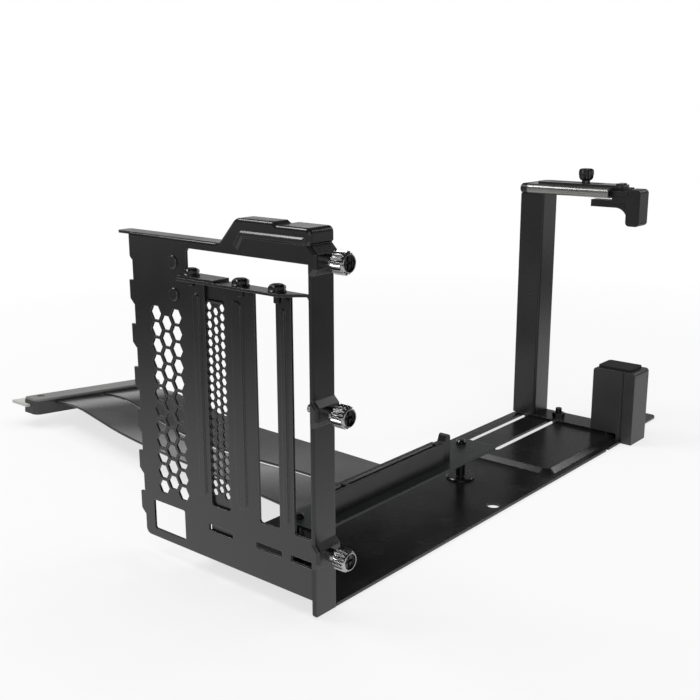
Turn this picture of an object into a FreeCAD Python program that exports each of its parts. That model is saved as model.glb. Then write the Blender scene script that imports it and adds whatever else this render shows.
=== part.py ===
import FreeCAD, Part
import math
import os

# Vertical mount for a graphics card: a folded slot bracket, a base tray, a riser board with a ribbon,
# and an adjustable rear support. All sizes are in millimetres.
# X runs from the outer face of the slot panel toward the rear, Y from the panel's folded side toward
# the motherboard side, Z up from the floor. The finished pieces are moved so that the origin lies
# under the middle of the mount.

V = FreeCAD.Vector

# Sheet stock, fits and standard slot spacing
sheet = 1.2
base_sheet = 1.5
fit = 0.2
running_fit = 0.3
arc_slack = 0.01
slot_pitch = 20.32
slot_width = 12.06

# Slot panel
panel_left = 110.5
panel_bottom = 8.0
panel_top_margin = 1.33
tooth_depth = 2.8
tooth_height = 10.9
tooth_first_z = 23.3
tooth_count = 7
tooth_chamfer = 2.4
corner_round = 3.0
flange_round = 2.2
fold_round = 1.6
flange_depth = 13.5
top_flange_depth = 9.0
top_flange_left = 119.0
top_flange_round = 1.5

# Carrying handle on top of the panel
handle_rise = 11.2
handle_left = 41.0
handle_slope = 10.3
handle_bend = 5.0
handle_corner = 2.4
handle_step = 1.2
handle_step_right = 18.0
handle_step_left = 20.0
gap_height = 11.4
strap_height = 3.8
gap_left = 71.4
gap_round = 2.0
bead_width = 3.0
bead_crest = 1.4
bead_height = 0.7
bead_round = 0.6
bead_foot = 1.0
bead_rise = 4.9
bead_left = 41.0
bead_bend = 37.2
bead_right = 2.6

# Pressed seats for the case thumbscrews in the side flange
seat_lift = 4.1
seat_count = 3
seat_pitch = 3 * slot_pitch
seat_out = 2.5
seat_flat = 6.0
seat_slope = 2.6
waist_in = 0.8
waist_slope = 0.7
waist_height = 0.9

# Case thumbscrews
thumb_x = 7.0
thumb_thread = 3.5
thumb_relief = 3.0
thumb_hole = 4.4
thumb_reach = 6.6
thumb_relief_end = 1.4
thumb_neck = 5.6
thumb_neck_length = 4.4
thumb_head = 10.0
thumb_head_length = 7.0
thumb_edge = 0.7
thumb_cross_length = 6.0
thumb_cross_width = 1.2
thumb_cross_depth = 1.6

# Card slots, their ledge and their screws
slot_first_y = 54.6
slot_second_y = 24.9
slot_third_y = slot_second_y - slot_pitch
slot_bottom = 34.5
slot_end_round = 1.5
ledge_depth = 7.4
ledge_left = 70.2
ledge_right = 1.4
ledge_chamfer = 9.0
ledge_round = 0.8
ledge_fold = 1.0
slot_screw_x = -3.4
slot_screw_offset = 9.9
slot_screw_thread = 3.0
slot_screw_head = 6.4
slot_screw_head_height = 2.6
slot_screw_flange = 7.6
slot_screw_flange_height = 0.8
slot_screw_reach = 4.6
slot_screw_hex = 5.0
slot_screw_hex_depth = 1.2
tongue_width = 15.4
tongue_height = 3.0
tongue_z = 23.5
tongue_shift = 0.9

# Perforated cover in the first slot
cover_sheet = 1.0
cover_width = 18.4
cover_neck = 14.4
cover_neck_drop = 26.8
cover_foot_z = 27.7
cover_corner = 0.6
cover_tongue_width = 14.2
cover_tongue_z = 20.2
cover_tab_width = 11.0
cover_tab_depth = 9.0
cover_hole = 3.3
cover_pitch = 4.0
cover_column = 3.9
cover_shift = 1.1
cover_rows = 22
cover_first_drop = 27.5
cover_lip = 1.6
cover_lip_length = 9.0
cover_lip_drop = 25.0

# Honeycomb vent, cable window, pressed ribs and rivets in the panel
vent_y = 86.45
vent_pitch = 7.5
vent_column = 6.8
vent_hole = 6.4
vent_rows = 12
vent_clear = 8.2
window_right = 79.4
window_left = 101.3
window_low = 12.0
window_high = 26.6
window_round = 1.0
rib_places = ((65.8, 4.2), (41.3, 6.2), (14.85, 2.8))
rib_low = 37.7
rib_drop = 22.6
rib_depth = 0.7
rib_slope = 0.4
rivet_y = 80.1
rivet_drops = (10.6, 24.8)
rivet_size = 3.0
rivet_head = 6.0
rivet_head_height = 0.8

# Folded tabs that carry the panel on the base
tab_depth = 11.0
tab_width = 16.0
tab_places = (18.0, 42.0, 66.0)
tab_rivet_size = 3.2
tab_rivet_head = 5.6
tab_rivet_head_height = 1.2
tab_rivet_x = 7.2

# Base tray
base_front = 14.0
base_strip_front = 3.4
base_strip_rear = 10.0
base_strip_right = 5.0
base_strip_left = 76.0
joggle_lean = 1.0
base_right = 0.2
base_left = 83.0
base_rear = 315.0
base_tab_rear = 349.0
base_tab_right = 5.0
base_tab_left = 22.0
base_corner = 4.0
base_hole_x = 147.2
base_hole_y = 6.2
base_hole = 7.0
emboss_front = 203.5
emboss_rear = 310.0
emboss_right = 4.0
emboss_left = 79.0
emboss_rise = 2.5
emboss_bevel = 3.0
emboss_corner = 7.0
base_slot_width = 5.0
base_slot_front = 215.7
base_slot_rear = 303.0
base_slot_places = (49.0, 70.0)
edge_notch_x = 267.0
edge_notch_width = 3.0
edge_notch_depth = 1.2

# Riser board and card socket
board_z = 20.1
board_thick = 1.6
board_front = 30.0
board_rear = 178.0
board_right = 24.0
board_left = 48.0
board_corner = 2.0
standoff_places = ((36.0, 42.4), (170.0, 42.4))
standoff_stem = 5.2
standoff_foot = 16.0
standoff_foot_height = 1.2
board_screw_thread = 3.0
board_screw_head = 5.6
board_screw_head_height = 2.2
board_screw_reach = 6.0
standoff_bore_clear = 1.0
socket_front = 46.0
socket_rear = 135.0
socket_y = 34.0
socket_width = 7.6
socket_height = 11.2
socket_slot = 2.0
socket_slot_depth = 8.0
socket_wall = 2.2
socket_key_x = 60.0
socket_key = 1.8
socket_lead_in = 0.9
latch_length = 8.0
latch_width = 5.0
latch_height = 15.0
latch_round = 2.0
latch_lip_round = 1.0
latch_lip = 4.8
latch_neck = 3.2
contact_count = 18
contact_width = 0.7
contact_thick = 0.4
contact_height = 5.0

# Riser ribbon: two flat strips side by side
ribbon_thick = 1.2
ribbon_width = 36.0
ribbon_space = 2.0
ribbon_angle = 8.5
ribbon_start_x = 64.3
ribbon_runs = (
    (0.0, 18.2), (34.0, 17.0), (84.0, 13.4), (134.0, 11.4), (184.0, 10.9), (228.0, 11.7), (258.6, 12.7))
ribbon_drop = 3.3
ribbon_lead = 6.0
bend_share = 0.45
boot_front = 41.0
boot_rear = 127.0
boot_right = 39.0
boot_low = 15.8
boot_left = 50.0
boot_round = 0.8

# Riser plug, one end on the floor and the other lifted by the ribbon
plug_x = 69.0
plug_y = 305.7
plug_pitch = 5.0
plug_length = 104.6
plug_depth = 14.0
plug_body_height = 8.6
plug_height = 10.2
plug_round = 1.6
plug_corner = 4.0
plug_cover_inset = 0.3
plug_cover_edge = 0.4
plug_card_left = -2.6
plug_card_length = 95.4
plug_card_out = 10.4
plug_card_low = 4.6
plug_card_thick = 1.6
plug_key_x = 12.5
plug_key = 1.9
plug_key_depth = 7.4
plug_card_round = 1.0
plug_screw_inset = 9.0
plug_screw_y = 8.5
plug_screw = 3.0
plug_screw_head = 5.0
plug_screw_head_height = 1.0
plug_screw_reach = 2.8

# Rear support: foot, spine and arm tube
support_x = 294.4
support_width = 18.0
foot_sheet = 1.5
foot_right = 9.0
foot_left = 78.0
foot_round = 3.0
spine_right = 62.0
spine_left = 78.0
spine_sheet = 1.5
spine_top = 150.4
tube_width = 22.4
tube_height = 6.2
tube_wall = 1.5
tube_right = 17.9
tube_left = 73.0
cap_length = 5.0
cap_plug = 8.0
foot_screw = 4.0
foot_screw_head = 7.6
foot_screw_head_height = 1.8
foot_screw_reach = 8.6
foot_nut = 7.0
foot_nut_height = 2.6
arm_screw = 3.0
arm_screw_head = 5.4
arm_screw_head_height = 2.0
arm_screw_spread = 8.0

# Rear support: sliding hook, guide strip and clamp knob
knob_y = 38.1
knob_thread = 4.0
knob_neck = 5.2
knob_neck_height = 1.6
knob_head = 9.2
knob_head_height = 7.2
knob_edge = 1.5
strip_width = 13.0
strip_thick = 1.5
strip_right = 11.4
strip_left = 69.0
strip_slot_right = 26.0
strip_slot_left = 63.0
hook_width = 11.4
hook_right = -0.5
hook_left = 8.2
hook_low = 134.2
hook_high = 156.0
hook_round = 2.4
hook_inner_round = 7.4
hook_jaw_width = 8.0
hook_shoulder_high = 153.3
hook_leg_low = 148.0
hook_jaw_low = 144.6
hook_jaw_high = 148.8
hook_jaw_left = 32.0
hook_neck_width = 9.0
hook_tongue_left = 57.0
hook_tongue_width = 13.0
hook_tongue_gap = 0.5
strip_rivet = 2.4
strip_rivet_head = 4.4
strip_rivet_head_height = 0.9
strip_rivet_reach = 4.0
strip_rivet_y = 14.6
slide_out = 15.0

# Rear support: lower cradle
cradle_width = 19.6
cradle_right = -6.6
cradle_left = 21.0
cradle_skirt_left = 3.6
cradle_top = 45.7
cradle_round = 2.0
cradle_groove_y = 1.0
cradle_groove = 1.4
cradle_groove_depth = 1.0
cradle_pad_thick = 1.6
cradle_pad_inset = 1.6
cradle_peg = 4.0
cradle_peg_y = 15.0

# Derived places
slot_places = (slot_first_y, slot_second_y, slot_third_y)
seat_places = tuple(tooth_first_z + seat_lift + k * seat_pitch for k in range(seat_count))
tooth_rise = (tooth_count - 1) * slot_pitch
panel_top = tooth_first_z + tooth_rise + tooth_height / 2 + panel_top_margin
handle_top = panel_top + handle_rise
handle_foot = handle_left + handle_slope
gap_top = panel_top - strap_height
gap_bottom = gap_top - gap_height
rivet_places = tuple((rivet_y, panel_top - drop) for drop in rivet_drops)
ledge_top = gap_bottom
ledge_low = ledge_top - sheet
thumb_face_y = -seat_out - thumb_neck_length - thumb_head_length
board_top = board_z + board_thick
emboss_top = base_sheet + emboss_rise
foot_top = emboss_top + foot_sheet
tube_top = spine_top + tube_height
strip_top = tube_top + strip_thick

# The origin lies on the floor under the middle of the mount, the ribbon and its plug left out
origin_x = (base_tab_rear - ledge_depth) / 2
origin_y = (top_flange_left + thumb_face_y) / 2


def box(x0, x1, y0, y1, z0, z1):
    return Part.makeBox(x1 - x0, y1 - y0, z1 - z0, V(x0, y0, z0))


def rod(radius, start, axis, length):
    return Part.makeCylinder(radius, length, V(*start), V(*axis))


def join(shapes):
    solid = shapes[0]
    if len(shapes) > 1:
        solid = shapes[0].fuse(list(shapes[1:]))
    return solid.removeSplitter()


def carve(solid, tools):
    return solid.cut(list(tools)).removeSplitter()


def along_x(a, b, x):
    return V(x, a, b)


def along_y(a, b, y):
    return V(a, y, b)


def along_z(a, b, z):
    return V(a, b, z)


def outline(points, place, level):
    # Closed outline with each corner (a, b, radius) rounded by its own radius
    edges = []
    entries = []
    exits = []
    middles = []
    total = len(points)
    for i in range(total):
        a, b, radius = points[i]
        here = V(a, b, 0)
        before = V(points[i - 1][0], points[i - 1][1], 0) - here
        after = V(points[(i + 1) % total][0], points[(i + 1) % total][1], 0) - here
        before.normalize()
        after.normalize()
        turn = before.getAngle(after)
        if radius <= 0 or abs(turn - math.pi) < 1e-6:
            entries.append(here)
            exits.append(here)
            middles.append(None)
            continue
        reach = radius / math.tan(turn / 2)
        bisector = before + after
        bisector.normalize()
        centre = here + bisector * (radius / math.sin(turn / 2))
        entries.append(here + before * reach)
        exits.append(here + after * reach)
        middles.append(centre - bisector * radius)
    for i in range(total):
        if middles[i] is not None:
            arc = [place(p.x, p.y, level) for p in (entries[i], middles[i], exits[i])]
            edges.append(Part.Arc(*arc).toShape())
        start = exits[i]
        end = entries[(i + 1) % total]
        if (end - start).Length > 1e-6:
            edges.append(Part.makeLine(place(start.x, start.y, level), place(end.x, end.y, level)))
    return Part.Wire(edges)


def prism(points, place, low, high):
    rounded = [(p[0], p[1], p[2] if len(p) > 2 else 0.0) for p in points]
    face = Part.Face(outline(rounded, place, low))
    return face.extrude(place(0, 0, high) - place(0, 0, low))


def rectangle(a0, a1, b0, b1, radius=0.0):
    return [(a0, b0, radius), (a1, b0, radius), (a1, b1, radius), (a0, b1, radius)]


def stadium(centre_a, low, high, width):
    half = width / 2
    return rectangle(centre_a - half, centre_a + half, low, high, half - arc_slack)


def hexagon(a, b, across):
    # Six-sided hole with flat top and bottom
    radius = across / math.sqrt(3)
    return [(a + radius * math.cos(k * math.pi / 3), b + radius * math.sin(k * math.pi / 3)) for k in range(6)]


def offset_path(path, distance):
    # Open path moved sideways, to the right of its direction, with its corners kept sharp
    lines = []
    for first, second in zip(path[:-1], path[1:]):
        da = second[0] - first[0]
        db = second[1] - first[1]
        length = math.hypot(da, db)
        side = (db / length * distance, -da / length * distance)
        lines.append((first[0] + side[0], first[1] + side[1], da / length, db / length))
    moved = [(lines[0][0], lines[0][1])]
    for one, two in zip(lines[:-1], lines[1:]):
        cross = one[2] * two[3] - one[3] * two[2]
        along = ((two[0] - one[0]) * two[3] - (two[1] - one[1]) * two[2]) / cross
        moved.append((one[0] + one[2] * along, one[1] + one[3] * along))
    last = lines[-1]
    run = math.hypot(path[-1][0] - path[-2][0], path[-1][1] - path[-2][1])
    moved.append((last[0] + last[2] * run, last[1] + last[3] * run))
    return moved


# Slot bracket: panel, side flange with seats, handle, top flange, ledge and foot tabs in one folded sheet

def bracket_path():
    # Folded edge from the floor up the side flange, over the handle and along the panel's top
    path = [(0.0, 0.0, 0.0)]
    for z in seat_places:
        path.append((0.0, z - seat_flat / 2 - seat_slope, 0.0))
        path.append((-seat_out, z - seat_flat / 2, 0.0))
        path.append((-seat_out, z + seat_flat / 2, 0.0))
        path.append((0.0, z + seat_flat / 2 + seat_slope, 0.0))
    # Above the highest seat the flange is drawn in to a waist, and the handle's top steps up where it laps over
    waist_z = path[-1][1] + waist_slope
    path[-1] = (waist_in, waist_z, 0.0)
    path.append((0.0, waist_z + waist_height, 0.0))
    path.append((0.0, handle_top - handle_step, handle_corner))
    path.append((handle_step_right, handle_top - handle_step, 0.0))
    path.append((handle_step_left, handle_top, 0.0))
    path.append((handle_left, handle_top, handle_bend))
    path.append((handle_foot, panel_top, handle_bend))
    return path


def panel_edge():
    # Toothed edge of the panel from its top corner down to the floor side
    inner = panel_left - tooth_depth
    points = [(panel_left, panel_top, corner_round / 2)]
    for k in reversed(range(tooth_count)):
        middle = tooth_first_z + k * slot_pitch
        if k < tooth_count - 1:
            points.append((inner, middle + tooth_height / 2, 0.0))
            points.append((panel_left, middle + tooth_height / 2, 0.0))
        points.append((panel_left, middle - tooth_height / 2 + tooth_chamfer, 0.0))
        points.append((panel_left - tooth_chamfer, middle - tooth_height / 2, 0.0))
        points.append((inner, middle - tooth_height / 2, 0.0))
    points.append((inner, panel_bottom, corner_round))
    points.append((sheet, panel_bottom, 0.0))
    points.append((sheet, 0.0, 0.0))
    return points


def bracket_shell():
    path = bracket_path()
    shell = prism(path + panel_edge(), along_x, 0, flange_depth)
    inner = offset_path([(p[0], p[1]) for p in path] + [(top_flange_left, panel_top)], sheet)
    radii = [max(p[2] - sheet, 0.0) for p in path] + [0.0]
    # The bend at the handle's foot turns the other way
    radii[len(path) - 1] = handle_bend + sheet
    far = top_flange_left + corner_round
    hollow = [(p[0], p[1], r) for p, r in zip(inner, radii)]
    hollow[0] = (inner[0][0], -corner_round, 0.0)
    hollow[-1] = (far, inner[-1][1], 0.0)
    hollow.append((far, -corner_round, 0.0))
    front_edges = [e for e in shell.Edges if is_fold_edge(e)]
    shell = shell.makeFillet(fold_round, front_edges)
    cavity = prism(hollow, along_x, sheet, flange_depth + corner_round)
    return shell.cut(cavity)


def is_fold_edge(edge):
    # Front edges along the side flange and over the top, not those of the toothed edge or the bottom
    ends = [v.Point for v in edge.Vertexes]
    if max(abs(p.x) for p in ends) > 1e-6:
        return False
    on_side = all(p.y < handle_corner + 1e-6 for p in ends) and max(p.z for p in ends) > panel_bottom + sheet
    on_side = on_side and min(p.y for p in ends) < sheet - 1e-6
    over_top = all(p.z > panel_top - 1e-6 for p in ends)
    return on_side or over_top


def slot_cut(y):
    low = max(y - slot_width / 2, sheet)
    return prism(rectangle(low, y + slot_width / 2, slot_bottom, ledge_low, slot_end_round), along_x, -sheet, sheet)


def tongue_cut(y):
    low = max(y + tongue_shift - tongue_width / 2, sheet)
    high = y + tongue_shift + tongue_width / 2
    return box(-sheet, 2 * sheet, low, high, tongue_z - tongue_height / 2, tongue_z + tongue_height / 2)


def vent_cuts():
    cuts = []
    for column in (-1, 0, 1):
        y = vent_y + column * vent_column
        staggered = column == 0
        first = window_high + vent_clear + (vent_pitch / 2 if staggered else 0.0)
        for row in range(vent_rows - (1 if staggered else 0)):
            cuts.append(prism(hexagon(y, first + row * vent_pitch, vent_hole), along_x, -sheet, 2 * sheet))
    return cuts


def bead_wire(width, x):
    # Outline of the handle's bead at one level, its ends drawn in as far as its sides
    low = panel_top - bead_foot
    high = panel_top + bead_rise
    run = math.hypot(bead_bend - bead_left, high - low)
    inset = (bead_width - width) / 2
    foot = (bead_left + (bead_bend - bead_left) * inset / run, low + (high - low) * inset / run)
    path = (foot, (bead_bend, high), (bead_right + inset, high))
    points = [(p[0], p[1], bead_round) for p in offset_path(path, width / 2)]
    points += [(p[0], p[1], bead_round) for p in reversed(offset_path(path, -width / 2))]
    return outline(points, along_x, x)


def handle_bead(face):
    # Bead pressed outward that follows the handle's rise, narrower at its crest
    return Part.makeLoft([bead_wire(bead_width, face), bead_wire(bead_crest, face - bead_height)], True, True)


def rib(y, width, face):
    # Bead pressed outward beside a slot, narrower at its crest
    high = panel_top - rib_drop
    wires = []
    for step, x in ((0.0, face), (rib_slope, face - rib_depth)):
        wires.append(outline(stadium(y, rib_low + step, high - step, width - 2 * step), along_x, x))
    return Part.makeLoft(wires, True, True)


def slot_ledge():
    # Ledge folded outward over the slots, cut off aslant beside the flange
    return prism([
        (sheet / 2, ledge_right, 0.0), (0.0, ledge_right, 0.0),
        (-ledge_depth, ledge_right + ledge_chamfer, ledge_round), (-ledge_depth, ledge_left, ledge_round),
        (sheet / 2, ledge_left, 0.0)], along_z, ledge_low, ledge_top)


def io_bracket():
    shell = bracket_shell()
    top_flange = prism(
        rectangle(sheet, top_flange_depth, panel_left - 2 * corner_round, top_flange_left, top_flange_round),
        along_z, panel_top - sheet, panel_top)
    trim_rear = box(
        top_flange_depth, flange_depth + sheet, handle_step_right, top_flange_left, gap_bottom, handle_top + sheet)
    tabs = [
        box(0, tab_depth, y - tab_width / 2, y + tab_width / 2, panel_bottom, panel_bottom + sheet)
        for y in tab_places]
    ribs = [rib(y, width, 0.0) for y, width in rib_places]
    grooves = [rib(y, width, sheet) for y, width in rib_places]
    body = carve(shell, [trim_rear])
    body = join([body, slot_ledge(), top_flange, handle_bead(0.0)] + tabs + ribs)
    cuts = [prism([
        (sheet, gap_bottom), (gap_left, gap_bottom), (gap_left, gap_top, gap_round), (sheet, gap_top)],
        along_x, -sheet, sheet)]
    cuts += grooves
    cuts += vent_cuts()
    cuts.append(handle_bead(sheet))
    cuts.append(prism(
        rectangle(window_right, window_left, window_low, window_high, window_round), along_x, -sheet, 2 * sheet))
    fold = sheet - ledge_fold
    corner = box(fold, 2 * sheet, sheet, gap_left, ledge_top - ledge_fold, ledge_top + sheet)
    cuts.append(corner.cut(rod(ledge_fold, (fold, 0, ledge_top - ledge_fold), (0, 1, 0), panel_left)))
    for y, z in rivet_places:
        cuts.append(rod(rivet_size / 2 + fit, (-sheet, y, z), (1, 0, 0), 3 * sheet))
    for y in slot_places:
        cuts.append(slot_cut(y))
        cuts.append(tongue_cut(y))
        hole = (slot_screw_x, y + slot_screw_offset, ledge_low - sheet)
        cuts.append(rod(slot_screw_thread / 2 + fit, hole, (0, 0, 1), 3 * sheet))
    for z in seat_places:
        cuts.append(rod(thumb_hole / 2, (thumb_x, -seat_out - sheet, z), (0, 1, 0), seat_out + 3 * sheet))
    for y in tab_places:
        hole = (tab_rivet_x, y, panel_bottom - sheet)
        cuts.append(rod(tab_rivet_size / 2 + fit, hole, (0, 0, 1), 3 * sheet))
    body = carve(body, cuts)
    # The flange's lower front corner is rounded
    corner = box(-sheet, flange_round, -sheet, sheet + fit, -sheet, flange_round)
    corner = corner.cut(rod(flange_round, (flange_round, -sheet, flange_round), (0, 1, 0), 4 * sheet))
    return carve(body, [corner])


# Slot cover: perforated strip behind the first slot, its tab lying on the ledge under a slot screw

def slot_cover():
    y = slot_first_y
    half = cover_width / 2
    neck = cover_neck / 2
    front = sheet
    rear = sheet + cover_sheet
    top = ledge_top + cover_sheet
    neck_z = panel_top - cover_neck_drop
    tongue = cover_tongue_width / 2
    tongue_y = y + tongue_shift
    small = cover_corner / 2
    strip = prism([
        (y - half, cover_foot_z, cover_corner), (tongue_y - tongue, cover_foot_z, small),
        (tongue_y - tongue, cover_tongue_z, cover_corner), (tongue_y + tongue, cover_tongue_z, cover_corner),
        (tongue_y + tongue, cover_foot_z, small), (y + half, cover_foot_z, cover_corner), (y + half, neck_z, small),
        (y + neck, neck_z, 0.0), (y + neck, top, 0.0), (y - neck, top, 0.0),
        (y - neck, neck_z, 0.0), (y - half, neck_z, small)], along_x, front, rear)
    tab_left = y + slot_screw_offset + cover_tab_width / 2
    tab = prism(rectangle(rear - cover_tab_depth, rear, y - neck, tab_left, cover_corner), along_z, ledge_top, top)
    square = box(front, rear, y - neck, y + neck, ledge_top, top)
    lip_start = (front, y - cover_lip_length / 2, panel_top - cover_lip_drop)
    lip = rod(cover_lip / 2, lip_start, (0, 1, 0), cover_lip_length)
    cuts = []
    for column in (-1, 0, 1):
        staggered = column == 0
        first = panel_top - cover_first_drop - (cover_pitch / 2 if staggered else 0.0)
        for row in range(cover_rows - (1 if staggered else 0)):
            hole_y = y + cover_shift + column * cover_column
            hole = hexagon(hole_y, first - row * cover_pitch, cover_hole)
            cuts.append(prism(hole, along_x, 0, rear + sheet))
    hole = (slot_screw_x, y + slot_screw_offset, ledge_low)
    cuts.append(rod(slot_screw_thread / 2 + fit, hole, (0, 0, 1), 4 * sheet))
    return carve(join([strip, tab, square, lip]), cuts)


def slot_screw(y, seat):
    place = (slot_screw_x, y + slot_screw_offset)
    shank = rod(slot_screw_thread / 2, (place[0], place[1], seat - slot_screw_reach), (0, 0, 1), slot_screw_reach)
    washer = rod(slot_screw_flange / 2, (place[0], place[1], seat), (0, 0, 1), slot_screw_flange_height)
    head_low = seat + slot_screw_flange_height
    head = prism(hexagon(place[0], place[1], slot_screw_head), along_z, head_low, head_low + slot_screw_head_height)
    cross = []
    deep = head_low + slot_screw_head_height - slot_screw_hex_depth
    long_half = slot_screw_hex / 2
    thin_half = slot_screw_hex_depth / 2
    for a, b in ((long_half, thin_half), (thin_half, long_half)):
        cross.append(box(place[0] - a, place[0] + a, place[1] - b, place[1] + b, deep, deep + slot_screw_head_height))
    return carve(join([shank, washer, head]), cross)


def slot_screws():
    return [slot_screw(y, ledge_top + (cover_sheet if y == slot_first_y else 0.0)) for y in slot_places]


def thumbscrew(z):
    seat = -seat_out
    neck_end = seat - thumb_neck_length
    relief = rod(thumb_relief / 2, (thumb_x, seat, z), (0, 1, 0), thumb_relief_end - seat)
    shank = rod(thumb_thread / 2, (thumb_x, thumb_relief_end, z), (0, 1, 0), thumb_reach)
    neck = rod(thumb_neck / 2, (thumb_x, neck_end, z), (0, 1, 0), thumb_neck_length)
    head = rod(thumb_head / 2, (thumb_x, thumb_face_y, z), (0, 1, 0), thumb_head_length)
    rims = [e for e in head.Edges if e.Length > thumb_head * 2]
    head = head.makeChamfer(thumb_edge, rims)
    long_half = thumb_cross_length / 2
    thin_half = thumb_cross_width / 2
    cross = []
    for a, b in ((long_half, thin_half), (thin_half, long_half)):
        cross.append(box(
            thumb_x - a, thumb_x + a, thumb_face_y - thumb_edge, thumb_face_y + thumb_cross_depth, z - b, z + b))
    return carve(join([relief, shank, neck, head]), cross)


def thumbscrews():
    return [thumbscrew(z) for z in seat_places]


def panel_rivets():
    rivets = []
    for y, z in rivet_places:
        shank = rod(rivet_size / 2, (0, y, z), (1, 0, 0), sheet)
        front = rod(rivet_head / 2, (-rivet_head_height, y, z), (1, 0, 0), rivet_head_height)
        rim = [e for e in front.Edges if e.Length > rivet_head * 2 and e.BoundBox.XMax < -rivet_head_height / 2]
        front = front.makeChamfer(rivet_head_height / 2, rim)
        back = rod(rivet_head / 2, (sheet, y, z), (1, 0, 0), rivet_head_height)
        rivets.append(join([shank, front, back]))
    return rivets


# Base tray: joggled front strip under the bracket's tabs, raised panel with two slots, rear tab

def base_tray():
    plate = prism([
        (base_front, base_right, 0.0), (base_rear, base_right, base_corner), (base_rear, base_tab_right, 0.0),
        (base_tab_rear, base_tab_right, base_corner), (base_tab_rear, base_tab_left, base_corner),
        (base_rear, base_tab_left, base_corner / 2),
        (base_rear, base_left, base_corner), (base_front, base_left, base_corner)], along_z, 0, base_sheet)
    strip_low = panel_bottom - base_sheet
    joggle = prism([
        (base_strip_front, strip_low), (base_strip_rear, strip_low), (base_front, 0), (base_front + base_sheet, 0),
        (base_front + base_sheet, base_sheet), (base_strip_rear + joggle_lean, panel_bottom),
        (base_strip_front, panel_bottom)], along_y, base_strip_right, base_strip_left)
    outer = emboss_block(0.0, base_sheet)
    inner = emboss_block(base_sheet / 2, 0.0)
    tray = join([plate, joggle, outer])
    cuts = [inner, rod(base_hole / 2, (base_hole_x, base_hole_y, -base_sheet), (0, 0, 1), 3 * base_sheet)]
    for y in base_slot_places:
        half = base_slot_width / 2
        slot = rectangle(base_slot_front, base_slot_rear, y - half, y + half, half - arc_slack)
        cuts.append(prism(slot, along_z, -base_sheet, emboss_top + base_sheet))
    half = edge_notch_width / 2
    cuts.append(box(
        edge_notch_x - half, edge_notch_x + half, base_right - base_sheet, base_right + edge_notch_depth,
        -base_sheet, 2 * base_sheet))
    for y in tab_places:
        hole = (tab_rivet_x, y, 0)
        cuts.append(rod(tab_rivet_size / 2 + fit, hole, (0, 0, 1), 2 * panel_bottom))
    return carve(tray, cuts)


def emboss_block(inset, low):
    # Rounded rectangle that narrows by the bevel as it rises
    wires = []
    for step, z in ((0.0, low), (emboss_bevel, low + emboss_rise)):
        side = inset + step
        points = rectangle(
            emboss_front + side, emboss_rear - side, emboss_right + side, emboss_left - side, emboss_corner - step)
        wires.append(outline(points, along_z, z))
    return Part.makeLoft(wires, True, True)


def base_rivets():
    rivets = []
    grip_low = panel_bottom - base_sheet
    grip_high = panel_bottom + sheet
    for y in tab_places:
        shank = rod(tab_rivet_size / 2, (tab_rivet_x, y, grip_low), (0, 0, 1), grip_high - grip_low)
        top = rod(tab_rivet_head / 2, (tab_rivet_x, y, grip_high), (0, 0, 1), tab_rivet_head_height)
        rim = [e for e in top.Edges if e.Length > tab_rivet_head * 2 and e.BoundBox.ZMin > grip_high + fit]
        top = top.makeChamfer(tab_rivet_head_height / 2, rim)
        low = grip_low - tab_rivet_head_height
        bottom = rod(tab_rivet_head / 2, (tab_rivet_x, y, low), (0, 0, 1), tab_rivet_head_height)
        rivets.append(join([shank, top, bottom]))
    return rivets


# Riser board on two standoffs, with the card socket on top and the ribbon clamp below

def board_standoffs():
    posts = []
    for x, y in standoff_places:
        foot = rod(standoff_foot / 2, (x, y, base_sheet), (0, 0, 1), standoff_foot_height)
        rim = [e for e in foot.Edges if e.Length > standoff_foot * 2 and e.BoundBox.ZMin > base_sheet + fit]
        foot = foot.makeChamfer(standoff_foot_height / 2, rim)
        stem = rod(standoff_stem / 2, (x, y, base_sheet), (0, 0, 1), board_z - base_sheet)
        bore_low = board_top - board_screw_reach - standoff_bore_clear
        bore = rod(board_screw_thread / 2 + fit, (x, y, bore_low), (0, 0, 1), board_screw_reach)
        posts.append(carve(join([foot, stem]), [bore]))
    return posts


def riser_board():
    board = prism(
        rectangle(board_front, board_rear, board_right, board_left, board_corner), along_z, board_z, board_top)
    holes = [
        rod(board_screw_thread / 2 + fit, (x, y, board_z - board_thick), (0, 0, 1), 3 * board_thick)
        for x, y in standoff_places]
    return carve(board, holes)


def board_screws():
    screws = []
    for x, y in standoff_places:
        shank = rod(board_screw_thread / 2, (x, y, board_top - board_screw_reach), (0, 0, 1), board_screw_reach)
        head = rod(board_screw_head / 2, (x, y, board_top), (0, 0, 1), board_screw_head_height)
        rim = [e for e in head.Edges if e.Length > board_screw_head * 2 and e.BoundBox.ZMin > board_top + fit]
        head = head.makeChamfer(board_screw_head_height / 2, rim)
        screws.append(join([shank, head]))
    return screws


def riser_socket():
    half = socket_width / 2
    top = board_top + socket_height
    body = box(socket_front, socket_rear, socket_y - half, socket_y + half, board_top, top)
    slot_low = top - socket_slot_depth
    slot_half = socket_slot / 2
    key_half = socket_key / 2
    slots = [
        (socket_front + socket_wall, socket_key_x - key_half),
        (socket_key_x + key_half, socket_rear - socket_wall)]
    cuts = []
    for x0, x1 in slots:
        cuts.append(box(x0, x1, socket_y - slot_half, socket_y + slot_half, slot_low, top + slot_half))
        wide = slot_half + socket_lead_in
        cuts.append(prism([
            (socket_y - slot_half, top - socket_lead_in), (socket_y + slot_half, top - socket_lead_in),
            (socket_y + wide, top), (socket_y - wide, top)], along_x, x0, x1))
    latch_half = latch_width / 2
    latch = prism([
        (socket_rear, board_top, 0), (socket_rear + latch_length, board_top, 0),
        (socket_rear + latch_length, board_top + latch_height, latch_round),
        (socket_rear + latch_lip, board_top + latch_height, latch_lip_round),
        (socket_rear + latch_neck, top, 0), (socket_rear, top, 0)],
        along_y, socket_y - latch_half, socket_y + latch_half)
    return carve(join([body, latch]), cuts)


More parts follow.
